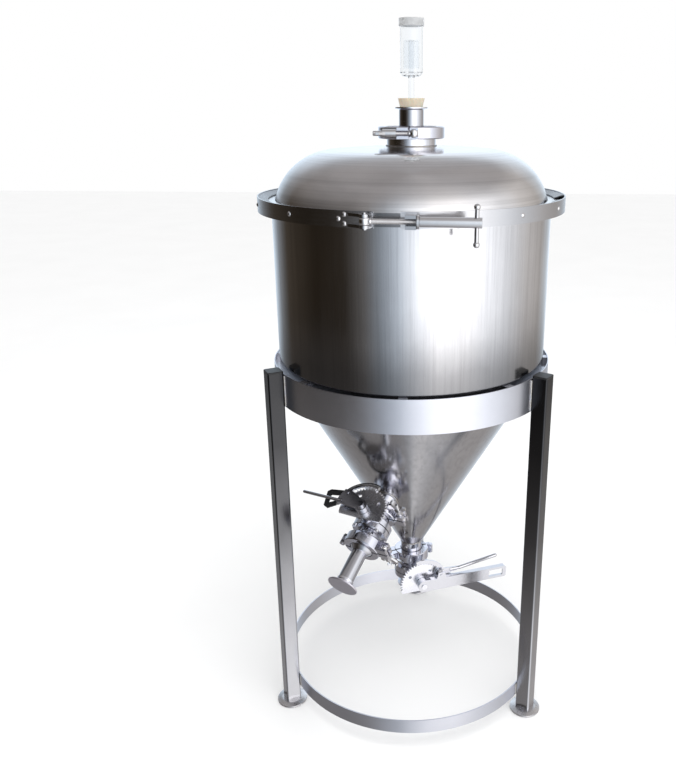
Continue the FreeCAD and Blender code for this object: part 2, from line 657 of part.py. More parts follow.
def channel_handle(hand):
    """Pressed channel: web outwards, flanges towards the valve, window near its end."""
    web0, web1 = HUB_END - HANDLE_SHEET, HUB_END
    half = HANDLE_HEIGHT / 2
    end, nose = HANDLE_LENGTH, 9.0
    outline = [(0, -half), (end - 3, -half), (end, -half + 3), (end, half - 3), (end - 3, half),
               (PIVOT[0] + nose, half), (PIVOT[0] + 6, PIVOT[1] + 5), (PIVOT[0] - 6, PIVOT[1] + 5),
               (PIVOT[0] - nose, half), (0, half)]
    web = in_face(hand, outline, web0, web1).fuse(face_rod(hand, half, 0, 0, web0, web1))
    start = HUB_R + 3
    flanges = []
    for v in (-half, half - HANDLE_SHEET):
        corners = [(start, v), (end - 3, v), (end - 3, v + HANDLE_SHEET), (start, v + HANDLE_SHEET)]
        flanges.append(in_face(hand, corners, HUB_END - HANDLE_DEPTH, web1))
    window = in_face(hand, [(end - 34, -6.5), (end - 9, -6.5), (end - 7, -4.5), (end - 7, 4.5),
                            (end - 9, 6.5), (end - 34, 6.5)], web0 - 1, web1 + 1)
    pin = face_rod(hand, 2.5, PIVOT[0], PIVOT[1], HUB_START + 0.2, web1 + 1.2)
    mid = VALVE_LENGTH / 2
    bore = rod(STEM_R, V(0, 0, mid), V(199, 0, mid))
    return fused([web.cut(window).cut(bore), stem_hub(web0)] + flanges + [pin])


def trigger_plate(hand, tail):
    """Flat plate about the trigger pin, with a nose that reaches over to the pawl."""
    x0, x1 = TRIGGER_X, TRIGGER_X + TRIGGER_THICK
    reach = PLATE_R + FREE_GAP + 0.4
    rise = degrees(atan2(PIVOT[1], PIVOT[0]))
    steps = 8
    sweep = [rise + (NOTCH_ANGLE + 5 - rise) * k / steps for k in range(steps + 1)]
    under = [(reach * cos(radians(a)), reach * sin(radians(a))) for a in sweep]
    over = [((reach + 7) * cos(radians(a)), (reach + 7) * sin(radians(a))) for a in reversed(sweep)]
    arm = in_face(hand, under + over, x0, x1)
    heel = face_rod(hand, 7.5, PIVOT[0], PIVOT[1], x0, x1)
    tooth = notch(hand, NOTCH_ANGLE, NOTCH_DEPTH - PAWL_GAP, PAWL_TIP_HALF, PAWL_ROOT_HALF,
                  BOSS_END + 0.3, x1, 3.2)
    root_in = notch(hand, NOTCH_ANGLE, -0.8, 3.4, 3.4, BOSS_END + 0.3, x1, 5.0)
    hole = face_rod(hand, 2.5 + RUNNING_FIT, PIVOT[0], PIVOT[1], x0 - 5, x1 + 5)
    return fused([arm, heel, tooth, root_in] + tail).cut(hole)


def dump_trigger(hand):
    x0, x1 = TRIGGER_X, TRIGGER_X + TRIGGER_THICK
    mid, xm = VALVE_LENGTH / 2, TRIGGER_X + TRIGGER_THICK / 2
    knee = (66.0, 19.2)
    plate = in_face(hand, [(PIVOT[0] - 2, PIVOT[1] - 6.5), (knee[0], knee[1] - 3.5), (knee[0], knee[1] + 3),
                           (PIVOT[0] + 2, PIVOT[1] + 7)], x0, x1)
    tip = (TRIGGER_ROD_END, 30.0)
    start = V(xm, hand * (knee[0] - 14), mid - knee[1])
    elbow = V(xm, hand * (knee[0] + 6), mid - knee[1])
    end = V(xm, hand * tip[0], mid - tip[1])
    r = TRIGGER_ROD_R
    tail = [plate, rod(r, start, elbow), Part.makeSphere(r, elbow), rod(r, elbow, end),
            Part.makeSphere(r, end)]
    return trigger_plate(hand, tail)


def lever_handle(hand):
    """Plain steel lever: a hub, a flat root and a round rod."""
    mid = VALVE_LENGTH / 2
    x1 = HUB_END - 3
    x0 = x1 - 3.0
    xm = (x0 + x1) / 2
    ear = [(-2, -7.5), (44, -4.5), (44, 4.5), (PIVOT[0] + 6, PIVOT[1] + 5),
           (PIVOT[0] - 6, PIVOT[1] + 5), (-2, 8)]
    root = in_face(hand, ear, x0, x1).fuse(face_rod(hand, HUB_R, 0, 0, x0, x1))
    bar = rod(2.6, V(xm, hand * 36, mid), V(xm, hand * LEVER_LENGTH, mid))
    end = Part.makeSphere(2.6, V(xm, hand * LEVER_LENGTH, mid))
    pin = face_rod(hand, 2.5, PIVOT[0], PIVOT[1], HUB_START + 0.2, x1 + 1.2)
    bore = rod(STEM_R, V(0, 0, mid), V(199, 0, mid))
    return fused([root.cut(bore), stem_hub(x0), bar, end, pin])


def loop_trigger(hand):
    """Trigger whose tail is a broad loop for one finger."""
    x0, x1 = TRIGGER_X, TRIGGER_X + TRIGGER_THICK
    outer = [(26, 8), (LOOP_LENGTH - 8, -15), (LOOP_LENGTH, -12), (LOOP_LENGTH + 6, 14),
             (LOOP_LENGTH + 1, 19), (PIVOT[0] + 2, PIVOT[1] + 7), (26, 18)]
    hole = [(45, 4), (LOOP_LENGTH - 6, -6), (LOOP_LENGTH - 3, 10), (47, 13)]
    loop = in_face(hand, outer, x0, x1).cut(in_face(hand, hole, x0 - 1, x1 + 1))
    return trigger_plate(hand, [loop])


def valve(train, hand, handle, trigger):
    start = SEAL_THICK
    put = train.put
    body = Part.makeCompound([put(s, start) for s in valve_body()])
    return {"valve_body": body,
            "index_plate": put(index_plate(hand), start),
            "disc_stem": put(disc_and_stem(), start),
            "handle": put(handle(hand), start),
            "trigger": put(trigger(hand), start),
            "seat": put(valve_seat(), start),
            "bolts": [put(b, start) for b in valve_bolts()]}


# ---- racking arm and outlet -----------------------------------------------------------
ARM_R = 15.9
ARM_WALL = 1.5
ARM_REACH = 34.0
ARM_DROP = 46.0


def racking_arm():
    """Bent tube inside the cone; it turns in the port's bore to reach above the yeast."""
    collar = tube(TUBE_BORE - RUNNING_FIT, ARM_R - ARM_WALL, -RACK_NECK + 4, -2)
    knee = V(0, 0, -RACK_NECK - ARM_REACH)
    end = knee + V(ARM_DROP, 0, 0)
    solid = fused([rod(ARM_R, V(0, 0, -2), knee), Part.makeSphere(ARM_R, knee), rod(ARM_R, knee, end)])
    r = ARM_R - ARM_WALL
    core = fused([rod(r, V(0, 0, 0), knee), Part.makeSphere(r, knee), rod(r, knee, end + V(1, 0, 0))])
    return rack_train().put(fused([solid, collar]).cut(core))


def outlet_start():
    return SEAL_THICK * 2 + VALVE_LENGTH


def outlet_tube():
    shoulder = FLANGE_THICK * 1.35
    outer, inner = OUTLET_TUBE_R, OUTLET_TUBE_R - TUBE_WALL
    end = OUTLET_LENGTH
    groove = end - 9
    body = revolved([
        (TUBE_BORE, 0), (FLANGE_R, 0), (FLANGE_R, FLANGE_THICK * 0.6), (TUBE_R, shoulder),
        (TUBE_R, 8), (outer, 14), (outer, groove), (outer + 1.2, groove), (outer + 1.2, groove + 3),
        (outer, groove + 3), (outer, end), (inner, end), (inner, 14), (TUBE_BORE, 8)])
    return rack_train().put(body, outlet_start())


def outlet_cap():
    """Blank disc with a hollow plug that slides into the outlet tube."""
    bore = OUTLET_TUBE_R - TUBE_WALL
    plug_r = bore - BORE_CLEARANCE
    depth, seal = 20.0, 3.0
    start = OUTLET_LENGTH + 0.4
    outline = [(0, start + 2.6), (24.2, start + 2.6), (25, start + 1.8), (25, start + 0.6), (24.4, start),
               (plug_r, start), (plug_r, start - 6), (plug_r - 1.2, start - 6),
               (plug_r - 1.2, start - 6 - seal), (plug_r, start - 6 - seal), (plug_r, start - depth),
               (plug_r - 2, start - depth), (plug_r - 2, start - 1), (0, start - 1)]
    return rack_train().put(revolved(outline), outlet_start())


def outlet_o_ring():
    bore = OUTLET_TUBE_R - TUBE_WALL
    start = OUTLET_LENGTH + 0.4 - 7.5
    ring = Part.makeTorus(bore - 1.35, 1.2, V(0, 0, start))
    return rack_train().put(ring, outlet_start())


# ---- lid clamp band -------------------------------------------------------------------
# Latch frame: x along the latch bolt to the right, -y outwards from the tank axis, z up.
LINE_W = BAND_R + LATCH_REACH
SADDLE_R = SADDLE_U + SADDLE_THICK - TRUNNION_U
WASHER_THICK = 3.0
TRUNNION_PIN_R = 3.0
EYE_R = 7.0
EYE_HALF = 4.8
TOMMY_U = SADDLE_U + SADDLE_THICK + FREE_GAP * 2 + WASHER_THICK + TEE_NUT_LENGTH - 7


def at_u(u):
    """Angle from the latch, in degrees, of a point u along the strap."""
    return degrees(u / BAND_R)


GAP_LEFT, GAP_RIGHT = at_u(TRUNNION_U + 10), at_u(SADDLE_U - 8)      # ends of the strap
TONGUE_LEFT, TONGUE_RIGHT = at_u(TRUNNION_U - 48), at_u(SADDLE_U + 5)
RIVET_U, RIVET_PAIR_U = TRUNNION_U - 40.0, TRUNNION_U - 31.0
RETAINERS = ((at_u(SADDLE_U + SADDLE_THICK + 22), 78), (92, 158), (172, 238), (252, 330))


def latch(shape):
    out = outward(LATCH_AZIMUTH)
    return placed(shape, V(0, 0, BAND_MID_Z), V(-out.y, out.x, 0), out * -1, UP)


def arc_piece(points, left, right):
    """Ring section between two angles counted from the latch, positive to the right."""
    return revolved(points, right - left, left - 90)


def band_plate(r0, r1, half, left, right):
    return arc_piece([(r0, -half), (r1, -half), (r1, half), (r0, half)], left, right)


def band_strap():
    half = BAND_HEIGHT / 2
    return latch(band_plate(BAND_R - BAND_THICK, BAND_R, half, GAP_RIGHT, 360 + GAP_LEFT))


def band_retainers():
    """Rolled channel sections whose jaws hold the two rims together."""
    inside = BAND_R - BAND_THICK
    jaw_r = TANK_R + 4.5
    flange = (LID_FLANGE_TOP - RIM_Z + RIM_THICK) / 2
    sheet = 1.5
    half = BAND_HEIGHT / 2 - 1.2
    upper = [(inside, half), (inside - 3, half), (jaw_r, flange + 0.5 + sheet), (jaw_r, flange + 0.5),
             (inside - 3, half - sheet - 0.2), (inside - sheet, half - sheet - 0.2)]
    lower = [(r, -z) for r, z in reversed(upper)]
    return Part.makeCompound([latch(arc_piece(upper + lower, a, b)) for a, b in RETAINERS])


def bridge_tongue():
    inside = BAND_R - BAND_THICK
    return latch(band_plate(inside - 1.8, inside, BAND_HEIGHT / 2 - 2.2, TONGUE_LEFT, TONGUE_RIGHT))


def rivet(angle, z, inner_r):
    """Rivet through the strap: a domed head outside and a flat one inside."""
    head = Part.makeSphere(4.2, V(BAND_R - 2.4, 0, z)).cut(cyl(BAND_R, -30, 30))
    tail = rod(2.6, V(inner_r - 1.0, 0, z), V(inner_r + 1.0, 0, z)).common(cyl(inner_r, -30, 30))
    pair = [head, tail]
    for piece in pair:
        piece.rotate(ORIGIN, UP, angle - 90)
    return [latch(p) for p in pair]


def band_rivets():
    parts = []
    under_tongue = BAND_R - BAND_THICK - 1.8
    for u, z in ((RIVET_U, 0), (RIVET_PAIR_U, 6), (RIVET_PAIR_U, -6)):
        parts += rivet(at_u(u), z, under_tongue)
    for left, right in RETAINERS:
        for angle in (left + 8, (left + right) / 2, right - 8):
            parts += rivet(angle, 0, BAND_R - BAND_THICK - 1.5)
    return Part.makeCompound(parts)


def trunnion_bracket():
    """Welded bracket with two ears and the upright pin that the latch bolt turns on."""
    u = TRUNNION_U
    inner = -BAND_R + 8
    outline = [(u - 26, inner), (u + 10, inner), (u + 7, -LINE_W), (u - 7, -LINE_W), (u - 24, -BAND_R + 0.5)]
    parts = []
    for side in (-1, 1):
        low, high = sorted((side * (EYE_HALF + FREE_GAP), side * (BAND_HEIGHT / 2 - 2)))
        parts += [slab(outline, low, high), cyl(7.0, low, high, (u, -LINE_W))]
    foot = band_plate(BAND_R - 0.5, BAND_R + 1.8, BAND_HEIGHT / 2 - 2, at_u(u - 24), at_u(u + 8))
    parts.append(foot)
    pin = cyl(TRUNNION_PIN_R, -BAND_HEIGHT / 2, BAND_HEIGHT / 2, (u, -LINE_W))
    body = fused(parts + [pin])
    room = cyl(EYE_R + FREE_GAP, -EYE_HALF - FREE_GAP, EYE_HALF + FREE_GAP, (u, -LINE_W))
    return latch(body.cut(room).cut(cyl(BAND_R, -30, 30)).fuse(pin))


def saddle_bracket():
    """Forked block on the other end of the strap; the bolt drops into its slot."""
    half = BAND_HEIGHT / 2 - 2
    u0, u1 = SADDLE_U, SADDLE_U + SADDLE_THICK + 4
    slot = LATCH_BOLT_R + 0.6
    block = box(u0, u1, -LINE_W - 8, -BAND_R + 8, -half, half)
    block = block.cut(box(u0 - 1, u1 + 1, -LINE_W - 20, -LINE_W + slot, -slot, slot))
    block = block.common(cyl(SADDLE_R, -30, 30, (TRUNNION_U, -LINE_W)))
    left, right = at_u(SADDLE_U - 6), at_u(SADDLE_U + SADDLE_THICK + 11)
    foot = band_plate(BAND_R - 0.5, BAND_R + 1.8, half, left, right)
    return latch(fused([block, foot]).cut(cyl(BAND_R, -30, 30)))


def latch_bolt():
    start = V(TRUNNION_U, -LINE_W, 0)
    end = V(TOMMY_U - 22, -LINE_W, 0)
    eye = cyl(EYE_R, -EYE_HALF, EYE_HALF, (TRUNNION_U, -LINE_W))
    hole = cyl(TRUNNION_PIN_R + RUNNING_FIT, -30, 30, (TRUNNION_U, -LINE_W))
    return latch(fused([eye, rod(LATCH_BOLT_R, start, end)]).cut(hole))


def along_bolt(r_out, r_in, u0, u1):
    outer = rod(r_out, V(u0, -LINE_W, 0), V(u1, -LINE_W, 0))
    return outer.cut(rod(r_in, V(u0 - 1, -LINE_W, 0), V(u1 + 1, -LINE_W, 0)))


def thrust_washer():
    start = SADDLE_U + SADDLE_THICK + FREE_GAP
    return latch(along_bolt(9.5, LATCH_BOLT_R + 0.15, start, start + WASHER_THICK))


def tee_nut():
    start = SADDLE_U + SADDLE_THICK + 2 * FREE_GAP + WASHER_THICK
    end = start + TEE_NUT_LENGTH
    body = along_bolt(TEE_NUT_R, LATCH_BOLT_R + RUNNING_FIT, start, end - 12)
    head = rod(TEE_NUT_R, V(end - 12, -LINE_W, 0), V(end, -LINE_W, 0))
    cross = cyl(TOMMY_R + RUNNING_FIT, -30, 30, (TOMMY_U, -LINE_W))
    return latch(fused([body, head]).cut(cross))


def tommy_bar():
    spot = (TOMMY_U, -LINE_W)
    parts = [cyl(TOMMY_R, -TOMMY_DOWN, TOMMY_UP, spot)]
    for z in (-TOMMY_DOWN, TOMMY_UP):
        parts.append(Part.makeSphere(4.3, V(TOMMY_U, -LINE_W, z)))
    return latch(fused(parts))


# ---- assembly -------------------------------------------------------------------------
def clamp_frame(train, along, toward, nut_side):
    """Placer for a clamp whose bolt is on the given side and whose nut faces nut_side."""
    origin = train.origin + train.z * along
    return lambda shape: placed(shape, origin, toward, nut_side, toward.cross(nut_side))


def clamp_places():
    dump, rack = dump_train(), rack_train()
    mid = SEAL_THICK / 2
    small = Clamp(FLANGE_R, TUBE_R)
    large = Clamp(BIG_FLANGE_R, BIG_TUBE_R, lug_face=19.0, nut_length=20.0, bolt_r=4.0)
    lid = Train(V(0, 0, PORT_FACE_Z), UP, outward(0))
    return {
        "lid_clamp": (large, clamp_frame(lid, mid, outward(0), V(-1, 0, 0))),
        "dump_clamp": (small, clamp_frame(dump, mid, dump.y, dump.x)),
        "rack_inlet_clamp": (small, clamp_frame(rack, mid, rack.y * -1, rack.x)),
        "rack_outlet_clamp": (small, clamp_frame(rack, mid + SEAL_THICK + VALVE_LENGTH,
                                                 rack.y * -1, rack.x * -1)),
    }


def seals():
    """Flat clamp gaskets at the four joints."""
    ring = tube(FLANGE_R - 0.6, TUBE_BORE, 0, SEAL_THICK)
    big = tube(BIG_FLANGE_R - 0.6, BIG_TUBE_R - TUBE_WALL, PORT_FACE_Z, PORT_FACE_Z + SEAL_THICK)
    dump, rack = dump_train(), rack_train()
    lower = [dump.put(ring), rack.put(ring), rack.put(ring, SEAL_THICK + VALVE_LENGTH)]
    return Part.makeCompound(lower), big


def main():
    os.makedirs("parts", exist_ok=True)
    lower_seals, lid_seal = seals()
    pieces = {
        "tank_shell": tank_shell(), "cone_ferrules": cone_ferrules(),
        "support_ring": support_ring(), "base_ring": base_ring(),
        "leg_caps": leg_caps(), "foot_pads": foot_pads(),
        "lid_shell": lid_shell(), "lid_ferrule": lid_ferrule(), "lid_gasket": lid_gasket(),
        "reducer_cap": reducer_cap(), "lid_port_seal": lid_seal, "clamp_seals": lower_seals,
        "bung": bung(), "airlock_body": airlock_body(), "airlock_float": airlock_float(),
        "airlock_cap": airlock_cap(),
        "band_strap": band_strap(), "band_retainers": band_retainers(),
        "bridge_tongue": bridge_tongue(), "band_rivets": band_rivets(),
        "trunnion_bracket": trunnion_bracket(), "saddle_bracket": saddle_bracket(),
        "latch_bolt": latch_bolt(), "thrust_washer": thrust_washer(),
        "tee_nut": tee_nut(), "tommy_bar": tommy_bar(),
        "racking_arm": racking_arm(), "outlet_tube": outlet_tube(),
        "outlet_cap": outlet_cap(), "outlet_o_ring": outlet_o_ring(),
    }
    for name, azimuth in LEG_AZIMUTHS.items():
        pieces["leg_" + name] = leg(azimuth)
    for name, (clamp, put) in clamp_places().items():
        for kind, shape in clamp.pieces().items():
            pieces[name + "_" + kind] = put(shape)
    seats, bolts, plates = [], [], []
    for name, train, hand, handle, trigger in (
            ("dump", dump_train(), -1, channel_handle, dump_trigger),
            ("rack", rack_train(), 1, lever_handle, loop_trigger)):
        made = valve(train, hand, handle, trigger)
        seats.append(made.pop("seat"))
        bolts += made.pop("bolts")
        plates.append(made.pop("index_plate"))
        for kind, shape in made.items():
            pieces[name + "_" + kind] = shape
    pieces["valve_seats"] = Part.makeCompound(seats)
    pieces["valve_bolts"] = Part.makeCompound(bolts)
    pieces["index_plates"] = Part.makeCompound(plates)
    for name, shape in pieces.items():
        save(name, shape)


main()
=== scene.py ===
"""Looks of the conical fermenter: steel finishes, welds, threads, springs and studio."""

import json
import math

import bmesh
import bpy
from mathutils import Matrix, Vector


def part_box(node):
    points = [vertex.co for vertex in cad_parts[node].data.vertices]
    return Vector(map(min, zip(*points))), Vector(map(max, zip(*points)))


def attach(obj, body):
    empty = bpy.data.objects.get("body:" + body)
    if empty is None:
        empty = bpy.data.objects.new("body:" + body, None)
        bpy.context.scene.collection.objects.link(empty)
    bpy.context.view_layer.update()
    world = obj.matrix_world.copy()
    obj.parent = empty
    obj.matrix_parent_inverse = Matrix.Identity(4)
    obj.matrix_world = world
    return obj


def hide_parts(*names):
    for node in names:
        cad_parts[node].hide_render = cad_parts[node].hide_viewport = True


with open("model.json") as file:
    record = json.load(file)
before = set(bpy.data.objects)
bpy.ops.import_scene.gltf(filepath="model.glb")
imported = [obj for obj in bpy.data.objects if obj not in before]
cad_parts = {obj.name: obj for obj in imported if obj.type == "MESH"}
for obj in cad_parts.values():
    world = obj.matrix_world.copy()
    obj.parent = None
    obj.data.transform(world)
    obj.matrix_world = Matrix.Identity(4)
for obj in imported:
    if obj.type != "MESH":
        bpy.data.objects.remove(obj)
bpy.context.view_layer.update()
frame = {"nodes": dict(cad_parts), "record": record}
NODES = frame["nodes"]
JOINTS = {j["name"]: j for j in frame["record"]["behaviour"]["joints"]}
UP = Vector((0, 0, 1))
MM = 0.001


def joint_frame(name):
    """Position and unit axis of a hinge, in metres."""
    j = JOINTS[name]
    return Vector(j["pos_m"]), Vector(j["axis"]).normalized()


# ---- node helpers ---------------------------------------------------------------------
class Shader:
    """A material with one Principled shader, and short calls to wire textures to it."""

    def __init__(self, name):
        self.material = bpy.data.materials.new(name)
        self.material.use_nodes = True
        self.tree = self.material.node_tree
        self.bsdf = self.tree.nodes["Principled BSDF"]
        self.coords = self.tree.nodes.new("ShaderNodeTexCoord")

    def node(self, kind, **inputs):
        made = self.tree.nodes.new(kind)
        for key, value in inputs.items():
            made.inputs[key.replace("_", " ")].default_value = value
        return made

    def link(self, source, target):
        self.tree.links.new(source, target)

    def noise(self, stretch, scale, detail=4.0, roughness=0.55):
        """Noise in object space, stretched by one factor per axis."""
        mapping = self.tree.nodes.new("ShaderNodeMapping")
        mapping.inputs["Scale"].default_value = stretch
        self.link(self.coords.outputs["Object"], mapping.inputs["Vector"])
        tex = self.node("ShaderNodeTexNoise", Scale=scale, Detail=detail, Roughness=roughness)
        self.link(mapping.outputs["Vector"], tex.inputs["Vector"])
        return tex.outputs["Fac"]

    def xyz(self):
        """The object-space coordinates, one socket per axis."""
        split = self.tree.nodes.new("ShaderNodeSeparateXYZ")
        self.link(self.coords.outputs["Object"], split.inputs[0])
        return split.outputs

    def spun(self, scale, detail=3.0):
        """Fine rings about the Z axis: noise that reads only radius and height."""
        place = self.xyz()
        squares = [self.math("POWER", place[axis], 2.0) for axis in ("X", "Y")]
        radius = self.math("SQRT", self.math("ADD", squares[0], squares[1]))
        join = self.tree.nodes.new("ShaderNodeCombineXYZ")
        self.link(radius, join.inputs["X"])
        self.link(place["Z"], join.inputs["Z"])
        tex = self.node("ShaderNodeTexNoise", Scale=scale, Detail=detail, Roughness=0.6)
        self.link(join.outputs[0], tex.inputs["Vector"])
        return tex.outputs["Fac"]

    def math(self, operation, a, b=None):
        made = self.tree.nodes.new("ShaderNodeMath")
        made.operation = operation
        for socket, value in zip(made.inputs, (a, b)):
            if isinstance(value, (int, float)):
                socket.default_value = value
            elif value is not None:
                self.link(value, socket)
        return made.outputs[0]

    def ramp(self, factor, stops):
        """Colour ramp through (position, grey or colour) stops."""
        made = self.tree.nodes.new("ShaderNodeValToRGB")
        ramp = made.color_ramp
        while len(ramp.elements) < len(stops):
            ramp.elements.new(0.5)
        for element, (place, value) in zip(ramp.elements, stops):
            element.position = place
            colour = (value, value, value) if isinstance(value, float) else value
            element.color = (*colour, 1.0)
        self.link(factor, made.inputs["Fac"])
        return made.outputs["Color"]

    def mix(self, factor, first, second):
        """From the first colour to the second, which is a constant, as the factor rises."""
        made = self.tree.nodes.new("ShaderNodeMix")
        made.data_type = "RGBA"
        self.link(factor, made.inputs["Factor"])
        self.link(first, made.inputs["A"])
        made.inputs["B"].default_value = (*second, 1)
        return made.outputs["Result"]

    def times(self, colour, factor):
        made = self.tree.nodes.new("ShaderNodeVectorMath")
        made.operation = "MULTIPLY"
        self.link(colour, made.inputs[0])
        self.link(factor, made.inputs[1])
        return made.outputs[0]

    def by_height(self, stops, wander):
        """Grey by height above the floor, through (metres, grey) stops that wander shifts up and down."""
        height = self.math("ADD", self.xyz()["Z"], wander)
        top = stops[-1][0]
        return self.ramp(self.math("DIVIDE", height, top), [(z / top, v) for z, v in stops])

    def bump(self, height, strength, distance, under=None):
        made = self.node("ShaderNodeBump", Strength=strength, Distance=distance)
        self.link(height, made.inputs["Height"])
        if under is not None:
            self.link(under, made.inputs["Normal"])
        return made.outputs["Normal"]

    def use(self, colour=None, roughness=None, normal=None, **constants):
        for key, value in constants.items():
            self.bsdf.inputs[key.replace("_", " ")].default_value = value
        for socket, value in (("Base Color", colour), ("Roughness", roughness), ("Normal", normal)):
            if value is not None:
                self.link(value, self.bsdf.inputs[socket])
        return self.material


def tint(colour, factor):
    return tuple(c * factor for c in colour)


def sheet_steel(name, colour, rough, along, grain=0.05, smudge=0.5, streaks=False, painted_dark_reflection=None):
    """Rolled satin sheet: grain along one direction and smudges, with streaks or a painted dark reflection by
    height if asked.
    """
    s = Shader(name)
    grain_fac = s.noise(along, 900.0, 3.0)
    cloud = s.noise((1, 1, 1), 9.0, 5.0)
    wipe = s.noise((1.0, 1.0, 0.25), 38.0, 6.0, 0.65)
    base = s.ramp(cloud, [(0.25, tint(colour, 0.90)), (0.75, tint(colour, 1.05))])
    marks = s.math("MULTIPLY", s.math("SUBTRACT", wipe, 0.5), smudge * 0.22)
    fine = s.math("MULTIPLY", s.math("SUBTRACT", grain_fac, 0.5), 0.20)
    if streaks:
        streak = s.noise(tuple(6 * a for a in along), 26.0, 4.0, 0.7)
        base = s.times(base, s.ramp(streak, [(0.3, 0.86), (0.5, 0.98), (0.7, 1.03)]))
        fine = s.math("ADD", fine, s.math("MULTIPLY", s.math("SUBTRACT", streak, 0.5), -0.10))
    # Painted dark reflection: the sheet's colour dims by height through the given stops, their heights
    # wobbled by noise.
    if painted_dark_reflection:
        painted_reflection_wobble = s.noise((1, 1, 0.4), 14.0, 4.0)
        base = s.times(base, s.by_height(painted_dark_reflection, s.math("MULTIPLY", s.math("SUBTRACT", painted_reflection_wobble, 0.5), 0.06)))
    roughness = s.math("ADD", s.math("ADD", marks, fine), rough)
    normal = s.bump(grain_fac, grain, 0.00025)
    normal = s.bump(s.noise((1, 1, 0.6), 3.5, 2.0), 0.06, 0.004, normal)
    return s.use(base, roughness, normal, Metallic=1.0)


def spun_steel(name, colour, rough, grain=0.08):
    """Turned or spun metal with fine rings about the vessel's axis."""
    s = Shader(name)
    rings = s.spun(1400.0)
    cloud = s.noise((1, 1, 1), 14.0, 5.0)
    base = s.ramp(cloud, [(0.25, tint(colour, 0.92)), (0.75, tint(colour, 1.04))])
    passes = s.spun(130.0, 5.0)
    base = s.times(base, s.ramp(passes, [(0.35, 0.86), (0.5, 1.0), (0.65, 1.05)]))
    roughness = s.math("ADD", s.math("MULTIPLY", s.math("SUBTRACT", rings, 0.5), 0.22), rough)
    roughness = s.math("ADD", roughness, s.math("MULTIPLY", s.math("SUBTRACT", cloud, 0.5), 0.08))
    return s.use(base, roughness, s.bump(rings, grain, 0.0002, s.bump(passes, 0.1, 0.0006)), Metallic=1.0)


def cast_metal(name, colour, rough, lumps=0.35, scale=420.0):
    """Polished casting: soft unevenness, faint pits, painted shade in the hollows and edges rubbed brighter.
    """
    s = Shader(name)
    swell = s.noise((1, 1, 1), 95.0, 3.0)
    pits = s.noise((1, 1, 1), scale * 3, 2.0)
    curvature = s.node("ShaderNodeNewGeometry").outputs["Pointiness"]
    # Painted shade: low pointiness (hollows) dims the colour to 0.82; convex edges are rubbed brighter.
    hollow_shade_and_edge_wear = s.ramp(curvature, [(0.47, tint(colour, 0.82)), (0.5, colour), (0.56, tint(colour, 1.15))])
    roughness = s.math("ADD", s.math("MULTIPLY", s.math("SUBTRACT", swell, 0.5), 0.25), rough)
    normal = s.bump(swell, lumps * 0.4, 0.0006)
    normal = s.bump(pits, lumps * 0.3, 0.00008, normal)
    return s.use(hollow_shade_and_edge_wear, roughness, normal, Metallic=1.0)


def moulded(name, colour, rough, grain=0.25, scale=1500.0, **constants):
    """Moulded plastic or rubber with a fine texture."""
    s = Shader(name)
    texture = s.noise((1, 1, 1), scale, 2.0)
    cloud = s.noise((1, 1, 1), 60.0, 4.0)
    base = s.ramp(cloud, [(0.3, tint(colour, 0.85)), (0.7, tint(colour, 1.1))])
    roughness = s.math("ADD", s.math("MULTIPLY", s.math("SUBTRACT", cloud, 0.5), 0.18), rough)
    return s.use(base, roughness, s.bump(texture, grain, 0.00012), **constants)


def clear_plastic(name):
    """Clear moulded plastic with a faint flow mark."""
    s = Shader(name)
    flow = s.noise((1, 1, 0.3), 120.0, 2.0)
    roughness = s.ramp(flow, [(0.3, 0.02), (0.8, 0.07)])
    return s.use(None, roughness, s.bump(flow, 0.08, 0.0004), Base_Color=(0.97, 0.985, 1.0, 1.0),
                 Transmission_Weight=1.0, IOR=1.45)


def weld_metal(name):
    """Ground weld: rippled, with a straw and blue heat tint."""
    s = Shader(name)
    heat = s.noise((1, 1, 1), 160.0, 3.0)
    base = s.ramp(heat, [(0.3, (0.42, 0.38, 0.34)), (0.55, (0.55, 0.53, 0.50)), (0.75, (0.44, 0.46, 0.55))])
    roughness = s.ramp(heat, [(0.2, 0.28), (0.8, 0.46)])
    return s.use(base, roughness, s.bump(heat, 0.4, 0.0003), Metallic=1.0)


def dipped_trigger(name):
    """Steel trigger plate whose finger loop is dipped in black plastic."""
    s = Shader(name)
    stem, _ = joint_frame("rack_valve_turn")
    away = s.tree.nodes.new("ShaderNodeVectorMath")
    away.operation = "DISTANCE"
    s.link(s.coords.outputs["Object"], away.inputs[0])
    away.inputs[1].default_value = stem
    dipped = s.ramp(s.math("MULTIPLY", away.outputs["Value"], 10.0), [(0.44, 0.0), (0.46, 1.0)])
    cloud = s.noise((1, 1, 1), 120.0, 3.0)
    steel = s.ramp(cloud, [(0.3, (0.56, 0.56, 0.58)), (0.7, (0.70, 0.70, 0.72))])
    s.link(s.math("SUBTRACT", 1.0, dipped), s.bsdf.inputs["Metallic"])
    roughness = s.math("ADD", s.math("MULTIPLY", dipped, 0.24), s.math("MULTIPLY", cloud, 0.3))
    return s.use(s.mix(dipped, steel, BLACK), roughness, s.bump(cloud, 0.2, 0.0002))


